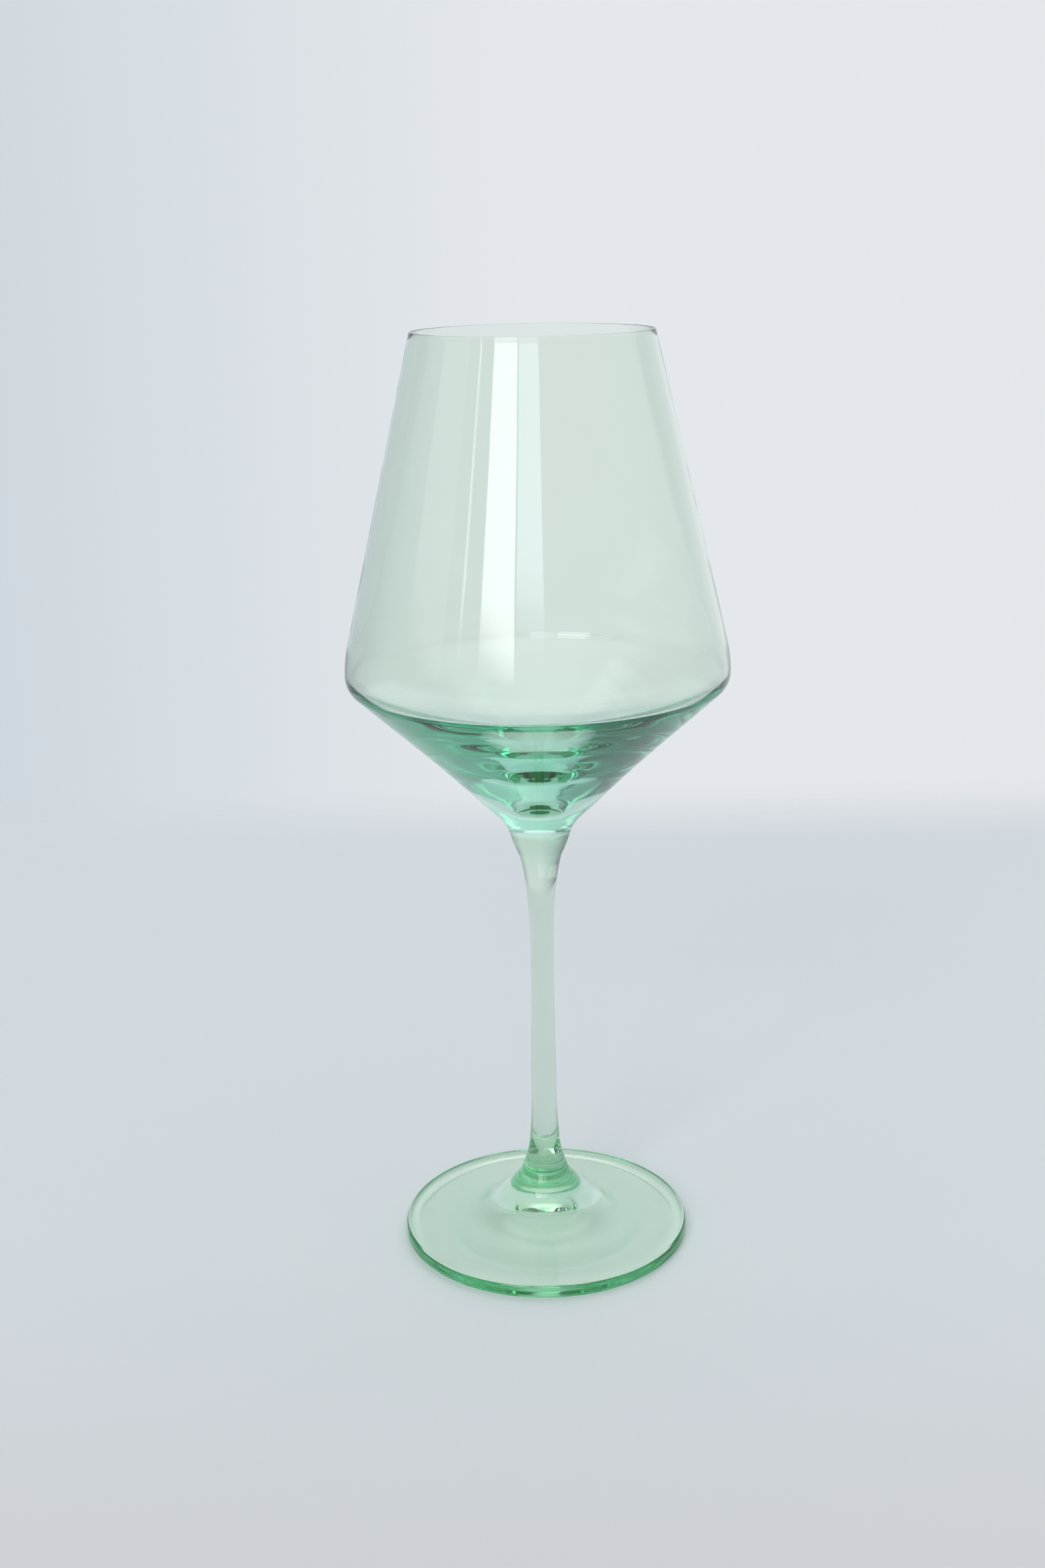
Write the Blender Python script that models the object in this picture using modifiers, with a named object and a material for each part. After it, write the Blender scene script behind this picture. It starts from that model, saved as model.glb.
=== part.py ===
"""A stemmed wine glass of tinted clear glass, 235 mm tall, standing on its foot.

The glass is three blown or drawn pieces that are fused end to end: the bowl, the stem and the
foot. Each is a turned body about the Z axis. The origin is the middle of the circle that the
foot stands on. Outlines are in millimetres, as (radius, height) pairs, and the turned meshes
are in metres.
"""

import math

import bpy
from mathutils import Vector
from mathutils.geometry import interpolate_bezier

MM = 0.001

# Driving dimensions, in millimetres and degrees.
HEIGHT = 235.0              # foot to rim
RIM_RADIUS = 29.1           # outside of the rim
RIM_WALL = 0.65
LIP_ROUND = 0.12            # rounding of the lip's two edges
TAPER_ANGLE = 13.3          # chimney's wall, from upright
SHOULDER_RADIUS = 47.5      # widest outside radius of the bowl
SHOULDER_HEIGHT = 153.2     # height of the widest place
SHOULDER_WALL = 1.1
UPPER_TURN = 31.0           # radius of the slow turn from the chimney to the widest place
LOWER_TURN = 4.8            # radius of the tight turn from there to the cone
INNER_TURN = 3.7            # radius of the turn between the wall and the floor inside
INNER_TURN_HEIGHT = 153.7
FLOOR_ANGLE = 37.8          # floor beside the inner turn, from level
WELL_BOTTOM = 120.7         # lowest point inside the bowl
BOWL_JOINT_HEIGHT = 111.0   # bowl fused to stem
BOWL_JOINT_RADIUS = 7.65
WAIST_RADIUS = 3.03         # thinnest place of the stem
FOOT_JOINT_HEIGHT = 14.2    # stem fused to foot
FOOT_JOINT_RADIUS = 8.7
FOOT_RADIUS = 37.4
EDGE_THICKNESS = 4.0
EDGE_ROUND = 1.2            # rounding of the foot's two edges
STAND_RADIUS = 34.4         # inside of the flat ring that the glass stands on
HOLLOW_HEIGHT = 7.0         # how far the underside rises over the table at the middle
JOINT_GAP = 0.3             # left between the fused faces, so that each piece is its own solid
JOINT_ROUND = 0.45          # rounding of the edges that meet at a joint

BOWL_STEPS = 48
STEM_STEPS = 24
FOOT_STEPS = 48

GLASS_GREEN = (0.50, 0.80, 0.66, 1.0)
STEM_GREEN = (0.62, 0.84, 0.73, 1.0)
GLASS_IOR = 1.5


def smooth_outline(stations, lines_per_span):
    """Points on one smooth curve through the stations, which are (radius, height) pairs.

    Each span between two stations is a cubic whose ends share the direction of the chord
    through the neighbouring stations, weighted so that a short span counts for more.
    """
    knots = [Vector(station) for station in stations]
    lengths = [(b - a).length for a, b in zip(knots, knots[1:])]
    slopes = [(b - a) / length for a, b, length in zip(knots, knots[1:], lengths)]
    directions = [slopes[0]]
    for i in range(1, len(slopes)):
        share = lengths[i] / (lengths[i - 1] + lengths[i])
        directions.append(slopes[i - 1] * share + slopes[i] * (1 - share))
    directions.append(slopes[-1])
    points = [knots[0]]
    for i, length in enumerate(lengths):
        leaving = knots[i] + directions[i] * length / 3
        arriving = knots[i + 1] - directions[i + 1] * length / 3
        span = interpolate_bezier(knots[i], leaving, arriving, knots[i + 1], lines_per_span + 1)
        points.extend(span[1:])
    return [(point.x, point.y) for point in points]


def arc(centre, radius, start, end, lines):
    """Points on an arc of a circle. Angles are in degrees from straight out, turning up."""
    angles = [math.radians(start + (end - start) * i / lines) for i in range(lines + 1)]
    return [(centre[0] + radius * math.cos(a), centre[1] + radius * math.sin(a)) for a in angles]


def bowl_inside():
    """From the bottom of the well up to the lip."""
    widest = SHOULDER_RADIUS - SHOULDER_WALL
    turn = arc((widest - INNER_TURN, INNER_TURN_HEIGHT), INNER_TURN, FLOOR_ANGLE - 90, 0, 6)
    floor = [
        (0.0, WELL_BOTTOM),
        (3.0, WELL_BOTTOM + 0.2),
        (6.0, WELL_BOTTOM + 1.5),
        (9.4, WELL_BOTTOM + 4.0),
        (20.0, 132.3),
        (32.0, 140.8),
        turn[0],
    ]
    sweep = UPPER_TURN - SHOULDER_WALL
    rise = arc((widest - sweep, INNER_TURN_HEIGHT), sweep, 0, TAPER_ANGLE, 4)
    lip_bottom = (RIM_RADIUS - RIM_WALL, HEIGHT - LIP_ROUND)
    return smooth_outline(floor, 2) + turn[1:] + rise[1:] + [lip_bottom]


def bowl_outside():
    """From the lip down to the neck, where the bowl is fused to the stem."""
    lip_bottom = (RIM_RADIUS, HEIGHT - LIP_ROUND)
    upper_turn = arc((SHOULDER_RADIUS - UPPER_TURN, SHOULDER_HEIGHT), UPPER_TURN, TAPER_ANGLE, 0, 4)
    lower_turn = arc((SHOULDER_RADIUS - LOWER_TURN, SHOULDER_HEIGHT), LOWER_TURN, 0, -45, 6)
    cone = [
        lower_turn[-1],
        (42.0, 146.0),
        (24.7, 130.0),
        (13.2, 118.5),
        (9.7, 115.0),
        (8.2, 112.8),
        (BOWL_JOINT_RADIUS, BOWL_JOINT_HEIGHT + JOINT_GAP / 2 + JOINT_ROUND),
    ]
    return [lip_bottom] + upper_turn + lower_turn[1:] + smooth_outline(cone, 2)[1:]


def bowl_outline():
    inner_edge = (RIM_RADIUS - RIM_WALL + LIP_ROUND, HEIGHT - LIP_ROUND)
    outer_edge = (RIM_RADIUS - LIP_ROUND, HEIGHT - LIP_ROUND)
    lip = arc(inner_edge, LIP_ROUND, 180, 90, 3) + arc(outer_edge, LIP_ROUND, 90, 0, 3)
    face = BOWL_JOINT_HEIGHT + JOINT_GAP / 2
    joint = [(BOWL_JOINT_RADIUS - JOINT_ROUND, face), (0.0, face)]
    return bowl_inside() + lip[1:-1] + bowl_outside() + joint


def stem_outline():
    top = BOWL_JOINT_HEIGHT - JOINT_GAP / 2
    bottom = FOOT_JOINT_HEIGHT + JOINT_GAP / 2
    side = [
        (BOWL_JOINT_RADIUS, top - JOINT_ROUND),
        (6.9, 108.8),
        (5.35, 105.0),
        (4.3, 100.0),
        (3.54, 92.5),
        (3.17, 84.0),
        (WAIST_RADIUS, 72.0),
        (3.25, 46.0),
        (3.65, 29.5),
        (4.2, 24.0),
        (5.3, 20.0),
        (6.3, 17.2),
        (7.6, 15.4),
        (FOOT_JOINT_RADIUS, bottom + JOINT_ROUND),
    ]
    upper_face = [(0.0, top), (BOWL_JOINT_RADIUS - JOINT_ROUND, top)]
    lower_face = [(FOOT_JOINT_RADIUS - JOINT_ROUND, bottom), (0.0, bottom)]
    return upper_face + smooth_outline(side, 2) + lower_face


def foot_outline():
    top = FOOT_JOINT_HEIGHT - JOINT_GAP / 2
    mound = [
        (FOOT_JOINT_RADIUS + 0.1, top - JOINT_ROUND),
        (9.4, 13.0),
        (11.2, 11.4),
        (13.6, 9.1),
        (18.0, 6.9),
        (24.0, 5.5),
        (30.0, 4.7),
        (FOOT_RADIUS - EDGE_ROUND, EDGE_THICKNESS),
    ]
    edge_centre = FOOT_RADIUS - EDGE_ROUND
    edge = arc((edge_centre, EDGE_THICKNESS - EDGE_ROUND), EDGE_ROUND, 90, 0, 5)
    edge += arc((edge_centre, EDGE_ROUND), EDGE_ROUND, 0, -90, 5)
    under = [
        (STAND_RADIUS, 0.0),
        (32.4, 0.45),
        (28.0, 0.8),
        (20.0, 1.3),
        (12.0, 4.2),
        (6.0, 6.4),
        (0.0, HOLLOW_HEIGHT),
    ]
    upper_face = [(0.0, top), (FOOT_JOINT_RADIUS - JOINT_ROUND, top)]
    return upper_face + smooth_outline(mound, 2) + edge[1:] + smooth_outline(under, 2)


def glass_material(name, colour):
    material = bpy.data.materials.new(name)
    material.use_nodes = True
    shader = material.node_tree.nodes["Principled BSDF"]
    shader.inputs["Base Color"].default_value = colour
    shader.inputs["Metallic"].default_value = 0.0
    shader.inputs["Roughness"].default_value = 0.03
    shader.inputs["IOR"].default_value = GLASS_IOR
    shader.inputs["Transmission Weight"].default_value = 1.0
    return material


def turned(name, outline, steps, material, collection):
    """A closed body: the outline, which starts and ends on the Z axis, turned once around it."""
    mesh = bpy.data.meshes.new(name)
    vertices = [(radius * MM, 0.0, height * MM) for radius, height in outline]
    edges = [(i, i + 1) for i in range(len(vertices) - 1)]
    mesh.from_pydata(vertices, edges, [])
    mesh.materials.append(material)
    body = bpy.data.objects.new(name, mesh)
    collection.objects.link(body)
    screw = body.modifiers.new("turn", "SCREW")
    screw.axis = "Z"
    screw.angle = math.tau
    screw.screw_offset = 0.0
    screw.steps = steps
    screw.render_steps = steps
    screw.use_merge_vertices = True
    screw.merge_threshold = 0.00002
    screw.use_smooth_shade = True
    return body


def main():
    for old in list(bpy.data.objects):
        bpy.data.objects.remove(old, do_unlink=True)
    collection = bpy.data.collections.new("wine_glass")
    bpy.context.scene.collection.children.link(collection)
    bowl_glass = glass_material("bowl_glass", GLASS_GREEN)
    stem_glass = glass_material("stem_glass", STEM_GREEN)
    foot_glass = glass_material("foot_glass", GLASS_GREEN)
    turned("bowl", bowl_outline(), BOWL_STEPS, bowl_glass, collection)
    turned("stem", stem_outline(), STEM_STEPS, stem_glass, collection)
    turned("foot", foot_outline(), FOOT_STEPS, foot_glass, collection)


main()
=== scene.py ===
"""The looks of the green wine glass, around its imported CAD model.

Each of the three CAD bodies (bowl, stem and foot) is replaced by a finely turned glass body on
the same axis. They are fused glass in the real object: the faces that meet are marked in the
mesh, and the glass shader lets light through those faces without bending it.
Outlines are in millimetres, as (radius, height) pairs. Other lengths are in metres where
nothing else is said.
"""

import math

import bpy
import numpy as np
from mathutils import Euler, Matrix, Vector
from mathutils.geometry import interpolate_bezier


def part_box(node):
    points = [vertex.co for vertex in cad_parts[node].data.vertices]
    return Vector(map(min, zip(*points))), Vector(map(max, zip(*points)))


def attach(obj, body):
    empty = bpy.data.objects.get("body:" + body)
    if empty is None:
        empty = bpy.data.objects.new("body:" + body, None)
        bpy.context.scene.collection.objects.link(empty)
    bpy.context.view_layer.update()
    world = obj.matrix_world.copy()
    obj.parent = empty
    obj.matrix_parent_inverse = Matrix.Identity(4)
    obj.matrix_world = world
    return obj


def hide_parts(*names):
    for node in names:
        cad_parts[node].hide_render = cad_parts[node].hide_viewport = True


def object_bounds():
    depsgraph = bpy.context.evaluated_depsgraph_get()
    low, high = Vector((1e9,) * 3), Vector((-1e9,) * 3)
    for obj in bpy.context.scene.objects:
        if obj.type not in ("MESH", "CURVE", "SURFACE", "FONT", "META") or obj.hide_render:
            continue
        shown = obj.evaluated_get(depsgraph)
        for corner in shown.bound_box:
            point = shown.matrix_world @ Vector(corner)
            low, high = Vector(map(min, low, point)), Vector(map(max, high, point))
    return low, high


MM = 0.001

# Camera, in the frame of the glass: it looks along +Y and down.
CAMERA_DISTANCE = 0.4575        # in front of the axis
CAMERA_HEIGHT = 0.2588          # over the table
CAMERA_DOWN = 16.43             # degrees below level
CAMERA_TURN = 0.53              # degrees to the left
CAMERA_ROLL = 1.05              # degrees, clockwise
FOCAL_LENGTH = 43.6             # millimetres
FRAME_LONG_SIDE = 36.0          # millimetres, upright
PICTURE_SHAPE = 1568 / 2353     # width over height

# The table ends a little behind the glass, where the pale wall begins.
TABLE_END = 0.373
TABLE_FADE = 0.05
TABLE_REACH = 6.0               # to each side, and in front
TABLE_DROP = 0.00003            # keeps the table's face clear of the foot's
TABLE_COLOUR = (0.775, 0.81, 0.83)
# Painted shade: the table is painted darker and greyer towards the camera, where less light falls.
TABLE_NEAR_SHADE_COLOUR = (0.735, 0.74, 0.755)
TABLE_FULL_SHADE_AT = -0.18              # where the table has taken its near colour
TABLE_ROUGHNESS = 0.6
TABLE_SHINE = 0.2

# The room's light, by direction: azimuths are 0 on the camera's side and grow to the right.
ROOM_LIGHT = (                  # azimuth in degrees, and the light from there
    (-180.0, (0.775, 0.805, 0.835)),
    (-163.0, (0.62, 0.68, 0.73)),
    (-145.0, (0.42, 0.46, 0.49)),
    (-122.0, (0.13, 0.15, 0.16)),
    (-90.0, (0.07, 0.088, 0.095)),
    (-60.0, (0.20, 0.21, 0.22)),
    (0.0, (0.30, 0.31, 0.32)),
    (35.0, (0.30, 0.31, 0.32)),
    (80.0, (0.33, 0.35, 0.37)),
    (118.0, (0.40, 0.43, 0.46)),
    (148.0, (0.77, 0.80, 0.83)),
    (180.0, (0.775, 0.805, 0.835)),
)
CEILING_LIGHT = (1.25, 1.27, 1.30)
CEILING_START = 45.0            # degrees over the table
CEILING_FULL = 63.0
WINDOWS = (                     # left, right, bottom and top in degrees, and the light
    (-35.5, -13.8, 13.0, 45.0, (4.2, 4.2, 4.2)),
    (-12.4, 5.0, 15.0, 45.0, (2.1, 2.2, 2.5)),
    (-49.2, -47.6, 12.0, 50.0, (2.4, 2.4, 2.4)),
    (-88.0, -60.0, 8.0, 38.0, (0.50, 0.51, 0.52)),
)
WINDOW_SIDE_BLUR = 0.8          # degrees
WINDOW_END_BLUR = 3.0

# Glass: the tint of each surface, the colour inside, and how fast that deepens.
BOWL_GLASS = ((0.958, 1.0, 0.951), (0.0, 0.81, 0.56), 18.0)
STEM_GLASS = ((0.99, 1.0, 0.93), (0.0, 0.56, 0.31), 32.0)
FOOT_GLASS = ((0.99, 1.0, 0.95), (0.0, 0.74, 0.36), 24.0)
GLASS_IOR = 1.5
SMEAR_SCALE = 22.0              # noise cells in a metre
SMEAR_DETAIL = 4.0
SMEAR_START = 0.52              # noise value at a smear's edge
SMEAR_MIDDLE = 0.72
SMEAR_ROUGHNESS = 0.03
RIPPLE_SCALE = 60.0
RIPPLE_DETAIL = 2.0
RIPPLE_DEPTH = 0.02             # millimetres

# Light paths: a ray crosses many glass surfaces at the bottom of the bowl.
GLASS_BOUNCES = 48
GLOSSY_BOUNCES = 24
DIFFUSE_BOUNCES = 6

# How finely the bodies are made.
TURN_STEPS = 256
WALL_LINES = 40                 # in the straight wall of the chimney
SWEEP_LINES = 8                 # in each slow turn
CURVE_LINES = 12                # in each tight turn
LIP_LINES = 5
SPACING = 0.8                   # between the points of a smooth curve, millimetres
FINE_SPACING = 0.5
SHARP_ANGLE = 35.0              # degrees between faces, above which an edge is shaded sharp

# Between the pieces, and on their surfaces.
SEAM_GAP = 0.01                 # half the gap between two fused faces, millimetres
UNEVEN_DEPTH = 0.06             # millimetres that soft waves go inside the true shape, at most
UNEVEN_WAVES = (                # strength, waves around, and radians a metre of height and radius
    (1.0, 3, 60.0, 0.0),
    (0.6, 5, -95.0, 0.0),
    (0.4, 9, 40.0, 200.0),
)
FULLY_UNEVEN_RADIUS = 0.02      # metres from the axis, past which the waves have their full depth

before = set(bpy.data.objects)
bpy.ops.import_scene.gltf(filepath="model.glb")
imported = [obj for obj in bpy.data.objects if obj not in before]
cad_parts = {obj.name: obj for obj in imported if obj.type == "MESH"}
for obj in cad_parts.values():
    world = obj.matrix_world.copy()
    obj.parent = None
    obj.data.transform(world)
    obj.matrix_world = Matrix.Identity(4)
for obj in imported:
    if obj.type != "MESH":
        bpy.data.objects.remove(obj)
cad_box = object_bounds()

# The CAD model's sizes that its boxes give, in millimetres.
HEIGHT = cad_box[1][2] / MM
BOWL_WIDTH = (cad_box[1][0] - cad_box[0][0]) / MM
FOOT_WIDTH = (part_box("foot")[1].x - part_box("foot")[0].x) / MM
BOWL_JOINT = (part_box("bowl")[0].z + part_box("stem")[1].z) / 2 / MM
FOOT_JOINT = (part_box("stem")[0].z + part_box("foot")[1].z) / 2 / MM

# The CAD model's other driving dimensions, in millimetres and degrees.
RIM_RADIUS = 29.1
RIM_WALL = 0.65
LIP_ROUND = 0.12
TAPER_ANGLE = 13.3              # of the chimney's wall, from upright
SHOULDER_RADIUS = BOWL_WIDTH / 2
SHOULDER_HEIGHT = 153.2
SHOULDER_WALL = 1.1
UPPER_TURN = 31.0               # radius of the slow turn from the chimney to the widest place
LOWER_TURN = 4.8                # radius of the tight turn from there to the cone
INNER_TURN = 3.7                # radius of the turn between the wall and the floor inside
INNER_TURN_HEIGHT = 153.7
FLOOR_ANGLE = 37.8              # floor beside the inner turn, from level
WELL_BOTTOM = 120.7             # lowest point inside the bowl
BOWL_JOINT_RADIUS = 7.65
WAIST_RADIUS = 3.03
FOOT_JOINT_RADIUS = 8.7
FOOT_RADIUS = FOOT_WIDTH / 2
EDGE_THICKNESS = 4.0
EDGE_ROUND = 1.2
STAND_RADIUS = 34.4             # inside of the flat ring that the glass stands on
HOLLOW_HEIGHT = 7.0             # of the underside over the table, at the middle


def smooth_outline(stations, spacing):
    """Points on one smooth curve through the stations, about the spacing apart."""
    knots = [Vector(station) for station in stations]
    lengths = [(b - a).length for a, b in zip(knots, knots[1:])]
    slopes = [(b - a) / length for a, b, length in zip(knots, knots[1:], lengths)]
    directions = [slopes[0]]
    for i in range(1, len(slopes)):
        share = lengths[i] / (lengths[i - 1] + lengths[i])
        directions.append(slopes[i - 1] * share + slopes[i] * (1 - share))
    directions.append(slopes[-1])
    points = [knots[0]]
    for i, length in enumerate(lengths):
        leaving = knots[i] + directions[i] * length / 3
        arriving = knots[i + 1] - directions[i + 1] * length / 3
        lines = max(2, math.ceil(length / spacing))
        span = interpolate_bezier(knots[i], leaving, arriving, knots[i + 1], lines + 1)
        points.extend(span[1:])
    return [(point.x, point.y) for point in points]


def arc(centre, radius, start, end, lines):
    """Points on an arc of a circle. Angles are in degrees from straight out, turning up."""
    angles = [math.radians(start + (end - start) * i / lines) for i in range(lines + 1)]
    return [(centre[0] + radius * math.cos(a), centre[1] + radius * math.sin(a)) for a in angles]


def line(start, end, lines):
    """Points on a straight line, both ends included."""
    first = Vector(start)
    points = [first.lerp(Vector(end), i / lines) for i in range(lines + 1)]
    return [(point.x, point.y) for point in points]


def bowl_inside():
    """From the bottom of the well up to the lip."""
    widest = SHOULDER_RADIUS - SHOULDER_WALL
    turn_centre = (widest - INNER_TURN, INNER_TURN_HEIGHT)
    turn = arc(turn_centre, INNER_TURN, FLOOR_ANGLE - 90, 0, CURVE_LINES)
    floor = [
        (0.0, WELL_BOTTOM),
        (3.0, WELL_BOTTOM + 0.2),
        (6.0, WELL_BOTTOM + 1.5),
        (9.4, WELL_BOTTOM + 4.0),
        (20.0, 132.3),
        (32.0, 140.8),
        turn[0],
    ]
    sweep = UPPER_TURN - SHOULDER_WALL
    rise = arc((widest - sweep, INNER_TURN_HEIGHT), sweep, 0, TAPER_ANGLE, SWEEP_LINES)
    wall = line(rise[-1], (RIM_RADIUS - RIM_WALL, HEIGHT - LIP_ROUND), WALL_LINES)
    return smooth_outline(floor, SPACING) + turn[1:] + rise[1:] + wall[1:]


def bowl_outside():
    """From the lip down to the neck, where the bowl is fused to the stem."""
    upper_centre = (SHOULDER_RADIUS - UPPER_TURN, SHOULDER_HEIGHT)
    upper_turn = arc(upper_centre, UPPER_TURN, TAPER_ANGLE, 0, SWEEP_LINES)
    lower_centre = (SHOULDER_RADIUS - LOWER_TURN, SHOULDER_HEIGHT)
    lower_turn = arc(lower_centre, LOWER_TURN, 0, -45, CURVE_LINES)
    cone = [
        lower_turn[-1],
        (42.0, 146.0),
        (24.7, 130.0),
        (13.2, 118.5),
        (9.7, 115.0),
        (8.2, 112.8),
        (BOWL_JOINT_RADIUS, BOWL_JOINT + SEAM_GAP),
    ]
    wall = line((RIM_RADIUS, HEIGHT - LIP_ROUND), upper_turn[0], WALL_LINES)
    return wall + upper_turn[1:] + lower_turn[1:] + smooth_outline(cone, SPACING)[1:]


def bowl_outline():
    inner_centre = (RIM_RADIUS - RIM_WALL + LIP_ROUND, HEIGHT - LIP_ROUND)
    outer_centre = (RIM_RADIUS - LIP_ROUND, HEIGHT - LIP_ROUND)
    lip = arc(inner_centre, LIP_ROUND, 180, 90, LIP_LINES)
    lip += arc(outer_centre, LIP_ROUND, 90, 0, LIP_LINES)
    return bowl_inside() + lip[1:-1] + bowl_outside() + [(0.0, BOWL_JOINT + SEAM_GAP)]


def stem_outline():
    top = BOWL_JOINT - SEAM_GAP
    bottom = FOOT_JOINT + SEAM_GAP
    side = [
        (BOWL_JOINT_RADIUS, top),
        (6.9, 108.8),
        (5.35, 105.0),
        (4.3, 100.0),
        (3.54, 92.5),
        (3.17, 84.0),
        (WAIST_RADIUS, 72.0),
        (3.25, 46.0),
        (3.65, 29.5),
        (4.2, 24.0),
        (5.3, 20.0),
        (6.3, 17.2),
        (7.6, 15.4),
        (FOOT_JOINT_RADIUS, bottom),
    ]
    return [(0.0, top)] + smooth_outline(side, FINE_SPACING) + [(0.0, bottom)]


def foot_outline():
    top = FOOT_JOINT - SEAM_GAP
    mound = [
        (FOOT_JOINT_RADIUS, top),
        (9.4, 13.0),
        (11.2, 11.4),
        (13.6, 9.1),
        (18.0, 6.9),
        (24.0, 5.5),
        (30.0, 4.7),
        (FOOT_RADIUS - EDGE_ROUND, EDGE_THICKNESS),
    ]
    edge_centre = FOOT_RADIUS - EDGE_ROUND
    edge = arc((edge_centre, EDGE_THICKNESS - EDGE_ROUND), EDGE_ROUND, 90, 0, CURVE_LINES)
    edge += arc((edge_centre, EDGE_ROUND), EDGE_ROUND, 0, -90, CURVE_LINES)
    under = [
        (STAND_RADIUS, 0.0),
        (32.4, 0.45),
        (28.0, 0.8),
        (20.0, 1.3),
        (12.0, 4.2),
        (6.0, 6.4),
        (0.0, HOLLOW_HEIGHT),
    ]
    upper_side = smooth_outline(mound, FINE_SPACING) + edge[1:]
    return [(0.0, top)] + upper_side + smooth_outline(under, SPACING)


class GlassNodes:
    """Adds the nodes of one glass material."""

    def __init__(self, material):
        material.use_nodes = True
        self.nodes = material.node_tree.nodes
        self.links = material.node_tree.links
        self.shader = self.nodes["Principled BSDF"]
        self.place = self.nodes.new("ShaderNodeTexCoord").outputs["Object"]

    def scaled(self, value, low, high, low_result, high_result):
        """The value, mapped from one range to another and kept within it."""
        node = self.nodes.new("ShaderNodeMapRange")
        node.inputs["From Min"].default_value = low
        node.inputs["From Max"].default_value = high
        node.inputs["To Min"].default_value = low_result
        node.inputs["To Max"].default_value = high_result
        self.links.new(value, node.inputs["Value"])
        return node.outputs["Result"]

    def noise(self, scale, detail):
        node = self.nodes.new("ShaderNodeTexNoise")
        node.inputs["Scale"].default_value = scale
        node.inputs["Detail"].default_value = detail
        self.links.new(self.place, node.inputs["Vector"])
        return node.outputs["Fac"]

    def add_fused_faces(self):
        """Lets light straight through where the mesh attribute "fused" is 1."""
        fused = self.nodes.new("ShaderNodeAttribute")
        fused.attribute_name = "fused"
        index = self.scaled(fused.outputs["Fac"], 0.0, 1.0, GLASS_IOR, 1.0)
        self.links.new(index, self.shader.inputs["IOR"])

    def add_wear(self):
        """Faint smears where the glass was handled and wiped."""
        noise = self.noise(SMEAR_SCALE, SMEAR_DETAIL)
        smears = self.scaled(noise, SMEAR_START, SMEAR_MIDDLE, 0.0, SMEAR_ROUGHNESS)
        self.links.new(smears, self.shader.inputs["Roughness"])

    def add_ripple(self):
        """The soft unevenness of a fire-polished surface."""
        bump = self.nodes.new("ShaderNodeBump")
        bump.inputs["Strength"].default_value = 1.0
        bump.inputs["Distance"].default_value = RIPPLE_DEPTH * MM
        self.links.new(self.noise(RIPPLE_SCALE, RIPPLE_DETAIL), bump.inputs["Height"])
        self.links.new(bump.outputs["Normal"], self.shader.inputs["Normal"])

    def add_body_tint(self, colour, density):
        """Colour that deepens with the length of the way through the glass."""
        volume = self.nodes.new("ShaderNodeVolumeAbsorption")
        volume.inputs["Color"].default_value = (*colour, 1.0)
        volume.inputs["Density"].default_value = density
        self.links.new(volume.outputs["Volume"], self.nodes["Material Output"].inputs["Volume"])


def glass_material(name, surface_tint, body_tint, density):
    material = bpy.data.materials.new(name)
    glass = GlassNodes(material)
    glass.shader.inputs["Base Color"].default_value = (*surface_tint, 1.0)
    glass.shader.inputs["Transmission Weight"].default_value = 1.0
    glass.add_fused_faces()
    glass.add_wear()
    glass.add_ripple()
    glass.add_body_tint(body_tint, density)
    return material


def unevenness(angles, heights, radii):
    """How far each point of a hand-made body lies inside its true circle, in metres."""
    swell = np.zeros((len(angles), len(heights)))
    for strength, waves, by_height, by_radius in UNEVEN_WAVES:
        phase = waves * angles[:, None] + by_height * heights + by_radius * radii
        swell += strength * np.sin(phase)
    most = sum(wave[0] for wave in UNEVEN_WAVES)
    share = (1 + swell / most) / 2
    return UNEVEN_DEPTH * MM * share * np.clip(radii / FULLY_UNEVEN_RADIUS, 0.0, 1.0)


def turned(name, outline, fused_heights, material):
    """A closed body: the outline, which starts and ends on the Z axis, turned once around it."""
    ring_points = outline[1:-1]
    count = len(ring_points)
    angles = np.arange(TURN_STEPS) * math.tau / TURN_STEPS
    radii = np.array([radius for radius, _ in ring_points]) * MM
    heights = np.array([height for _, height in ring_points]) * MM
    uneven_radii = radii - unevenness(angles, heights, radii)
    rings = np.empty((TURN_STEPS, count, 3))
    rings[:, :, 0] = np.cos(angles)[:, None] * uneven_radii
    rings[:, :, 1] = np.sin(angles)[:, None] * uneven_radii
    rings[:, :, 2] = heights
    ends = [(0.0, 0.0, outline[0][1] * MM), (0.0, 0.0, outline[-1][1] * MM)]
    vertices = [tuple(point) for point in rings.reshape(-1, 3)] + ends
    first_end = TURN_STEPS * count
    faces = []
    for step in range(TURN_STEPS):
        here = step * count
        there = (step + 1) % TURN_STEPS * count
        faces.append((first_end, here, there))
        faces.extend((here + i, here + i + 1, there + i + 1, there + i) for i in range(count - 1))
        faces.append((first_end + 1, there + count - 1, here + count - 1))
    mesh = bpy.data.meshes.new(name)
    mesh.from_pydata(vertices, [], faces)
    mesh.materials.append(material)
    mesh.shade_smooth()
    mesh.set_sharp_from_angle(angle=math.radians(SHARP_ANGLE))
    mark_fused(mesh, fused_heights)
    body = bpy.data.objects.new(name, mesh)
    bpy.context.scene.collection.objects.link(body)
    return body


def mark_fused(mesh, fused_heights):
    """Sets the mesh attribute "fused" to 1 on the level faces at the given heights."""
    fused = mesh.attributes.new("fused", "FLOAT", "FACE")
    for polygon in mesh.polygons:
        levels = [mesh.vertices[i].co.z / MM for i in polygon.vertices]
        for height in fused_heights:
            if max(abs(level - height) for level in levels) < SEAM_GAP / 2:
                fused.data[polygon.index].value = 1.0


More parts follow.
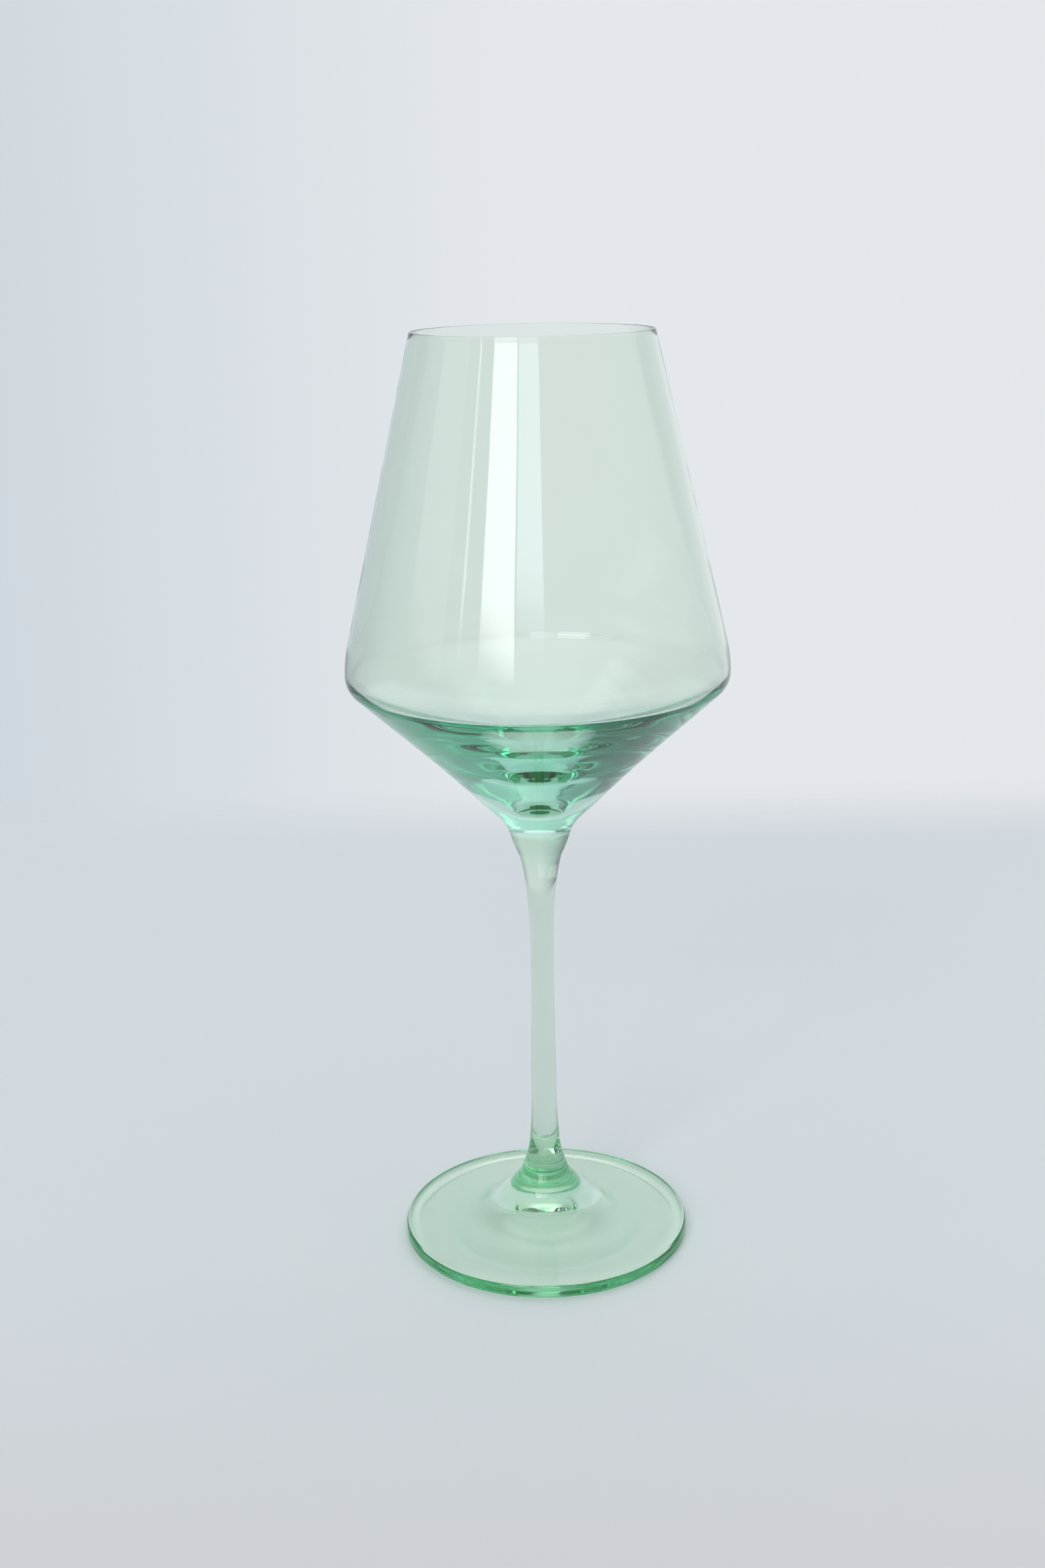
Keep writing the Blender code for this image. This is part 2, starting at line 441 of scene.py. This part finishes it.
def add_camera():
    data = bpy.data.cameras.new("camera")
    data.sensor_fit = "VERTICAL"
    data.sensor_height = FRAME_LONG_SIDE
    data.sensor_width = FRAME_LONG_SIDE * PICTURE_SHAPE
    data.lens = FOCAL_LENGTH
    data.clip_start = 0.01
    camera = bpy.data.objects.new("camera", data)
    turn = Euler((math.radians(90 - CAMERA_DOWN), 0.0, math.radians(CAMERA_TURN)))
    roll = Matrix.Rotation(math.radians(-CAMERA_ROLL), 4, "Z")
    place = Matrix.Translation((0.0, -CAMERA_DISTANCE, CAMERA_HEIGHT))
    camera.matrix_world = place @ turn.to_matrix().to_4x4() @ roll
    bpy.context.scene.collection.objects.link(camera)
    bpy.context.scene.camera = camera


def stage_material():
    """Pale table paint with painted shade, darker and greyer in front, that thins out to nothing
    at the table's end.
    """
    material = bpy.data.materials.new("stage_paint")
    material.use_nodes = True
    nodes = material.node_tree.nodes
    links = material.node_tree.links
    shader = nodes["Principled BSDF"]
    shader.inputs["Roughness"].default_value = TABLE_ROUGHNESS
    shader.inputs["Specular IOR Level"].default_value = TABLE_SHINE
    place = nodes.new("ShaderNodeNewGeometry")
    split = nodes.new("ShaderNodeSeparateXYZ")
    links.new(place.outputs["Position"], split.inputs["Vector"])
    fade = nodes.new("ShaderNodeMapRange")
    fade.interpolation_type = "SMOOTHSTEP"
    fade.inputs["From Min"].default_value = TABLE_END - TABLE_FADE
    fade.inputs["From Max"].default_value = TABLE_END + TABLE_FADE
    fade.inputs["To Min"].default_value = 1.0
    fade.inputs["To Max"].default_value = 0.0
    links.new(split.outputs["Y"], fade.inputs["Value"])
    links.new(fade.outputs["Result"], shader.inputs["Alpha"])
    # Painted shade: the table paint turns darker and greyer towards the camera.
    near_shade = nodes.new("ShaderNodeMapRange")
    near_shade.interpolation_type = "SMOOTHSTEP"
    near_shade.inputs["From Min"].default_value = 0.0
    near_shade.inputs["From Max"].default_value = TABLE_FULL_SHADE_AT
    links.new(split.outputs["Y"], near_shade.inputs["Value"])
    paint = nodes.new("ShaderNodeMix")
    paint.data_type = "RGBA"
    paint.inputs["A"].default_value = (*TABLE_COLOUR, 1.0)
    paint.inputs["B"].default_value = (*TABLE_NEAR_SHADE_COLOUR, 1.0)
    links.new(near_shade.outputs["Result"], paint.inputs["Factor"])
    links.new(paint.outputs["Result"], shader.inputs["Base Color"])
    return material


def add_stage():
    left = near = -TABLE_REACH
    right = TABLE_REACH
    far = TABLE_END + TABLE_FADE
    corners = [
        (left, near, -TABLE_DROP),
        (right, near, -TABLE_DROP),
        (right, far, -TABLE_DROP),
        (left, far, -TABLE_DROP),
    ]
    mesh = bpy.data.meshes.new("stage_floor")
    mesh.from_pydata(corners, [], [(0, 1, 2, 3)])
    mesh.materials.append(stage_material())
    floor = bpy.data.objects.new("stage_floor", mesh)
    bpy.context.scene.collection.objects.link(floor)


class RoomNodes:
    """Builds the room that surrounds the glass, out of directions in the world's shader."""

    def __init__(self, tree):
        self.nodes = tree.nodes
        self.links = tree.links
        place = self.nodes.new("ShaderNodeTexCoord")
        split = self.nodes.new("ShaderNodeSeparateXYZ")
        self.links.new(place.outputs["Generated"], split.inputs["Vector"])
        toward = self.nodes.new("ShaderNodeMath")
        toward.operation = "MULTIPLY"
        toward.inputs[1].default_value = -1.0
        self.links.new(split.outputs["Y"], toward.inputs[0])
        azimuth = self.nodes.new("ShaderNodeMath")
        azimuth.operation = "ARCTAN2"
        self.links.new(split.outputs["X"], azimuth.inputs[0])
        self.links.new(toward.outputs[0], azimuth.inputs[1])
        height = self.nodes.new("ShaderNodeMath")
        height.operation = "ARCSINE"
        self.links.new(split.outputs["Z"], height.inputs[0])
        self.azimuth = azimuth.outputs[0]       # 0 on the camera's side, growing to the right
        self.height = height.outputs[0]         # angle over the table

    def by_azimuth(self, stops):
        """A colour that changes smoothly from stop to stop around the room."""
        turn = self.nodes.new("ShaderNodeMapRange")
        turn.inputs["From Min"].default_value = -math.pi
        turn.inputs["From Max"].default_value = math.pi
        self.links.new(self.azimuth, turn.inputs["Value"])
        node = self.nodes.new("ShaderNodeValToRGB")
        elements = node.color_ramp.elements
        for element, (angle, colour) in zip(elements, (stops[0], stops[-1])):
            element.position = angle / 360 + 0.5
            element.color = (*colour, 1.0)
        for angle, colour in stops[1:-1]:
            elements.new(angle / 360 + 0.5).color = (*colour, 1.0)
        self.links.new(turn.outputs["Result"], node.inputs["Fac"])
        return node.outputs["Color"]

    def ramp(self, value, start, end):
        """0 up to the start and 1 from the end on. Angles are in degrees."""
        node = self.nodes.new("ShaderNodeMapRange")
        node.interpolation_type = "SMOOTHSTEP"
        node.inputs["From Min"].default_value = math.radians(start)
        node.inputs["From Max"].default_value = math.radians(end)
        self.links.new(value, node.inputs["Value"])
        return node.outputs["Result"]

    def product(self, first, second):
        node = self.nodes.new("ShaderNodeMath")
        node.operation = "MULTIPLY"
        self.links.new(first, node.inputs[0])
        self.links.new(second, node.inputs[1])
        return node.outputs[0]

    def within(self, value, low, high, soft):
        """1 between the two angles, fading over the soft angle on each side."""
        rise = self.ramp(value, low - soft / 2, low + soft / 2)
        fall = self.ramp(value, high + soft / 2, high - soft / 2)
        return self.product(rise, fall)

    def mix(self, below, above, factor):
        """A colour between two. A colour is either a tuple or another node's output."""
        node = self.nodes.new("ShaderNodeMix")
        node.data_type = "RGBA"
        for socket, colour in (("A", below), ("B", above)):
            if isinstance(colour, tuple):
                node.inputs[socket].default_value = (*colour, 1.0)
            else:
                self.links.new(colour, node.inputs[socket])
        self.links.new(factor, node.inputs["Factor"])
        return node.outputs["Result"]


def add_world():
    """A pale wall behind the glass, dimmer room around it, a light ceiling and tall windows."""
    world = bpy.data.worlds.new("room")
    bpy.context.scene.world = world
    world.use_nodes = True
    room = RoomNodes(world.node_tree)
    colour = room.by_azimuth(ROOM_LIGHT)
    colour = room.mix(colour, CEILING_LIGHT, room.ramp(room.height, CEILING_START, CEILING_FULL))
    for left, right, bottom, top, light in WINDOWS:
        across = room.within(room.azimuth, left, right, WINDOW_SIDE_BLUR)
        upward = room.within(room.height, bottom, top, WINDOW_END_BLUR)
        colour = room.mix(colour, light, room.product(across, upward))
    room.links.new(colour, world.node_tree.nodes["Background"].inputs["Color"])


def set_light_paths():
    """Plain colours, and rays that live long enough to leave the thick glass."""
    scene = bpy.context.scene
    scene.view_settings.view_transform = "Standard"
    scene.view_settings.look = "None"
    scene.cycles.max_bounces = GLASS_BOUNCES
    scene.cycles.transmission_bounces = GLASS_BOUNCES
    scene.cycles.glossy_bounces = GLOSSY_BOUNCES
    scene.cycles.diffuse_bounces = DIFFUSE_BOUNCES
    scene.cycles.caustics_reflective = True
    scene.cycles.caustics_refractive = True
    scene.cycles.blur_glossy = 0.0


def main():
    add_camera()
    add_stage()
    add_world()
    bowl_glass = glass_material("bowl_glass", *BOWL_GLASS)
    stem_glass = glass_material("stem_glass", *STEM_GLASS)
    foot_glass = glass_material("foot_glass", *FOOT_GLASS)
    bowl = turned("glass_bowl", bowl_outline(), [BOWL_JOINT + SEAM_GAP], bowl_glass)
    stem_joints = [BOWL_JOINT - SEAM_GAP, FOOT_JOINT + SEAM_GAP]
    stem = turned("glass_stem", stem_outline(), stem_joints, stem_glass)
    foot = turned("glass_foot", foot_outline(), [FOOT_JOINT - SEAM_GAP], foot_glass)
    for piece, node in ((bowl, "bowl"), (stem, "stem"), (foot, "foot")):
        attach(piece, "root")
        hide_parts(node)
    set_light_paths()


main()
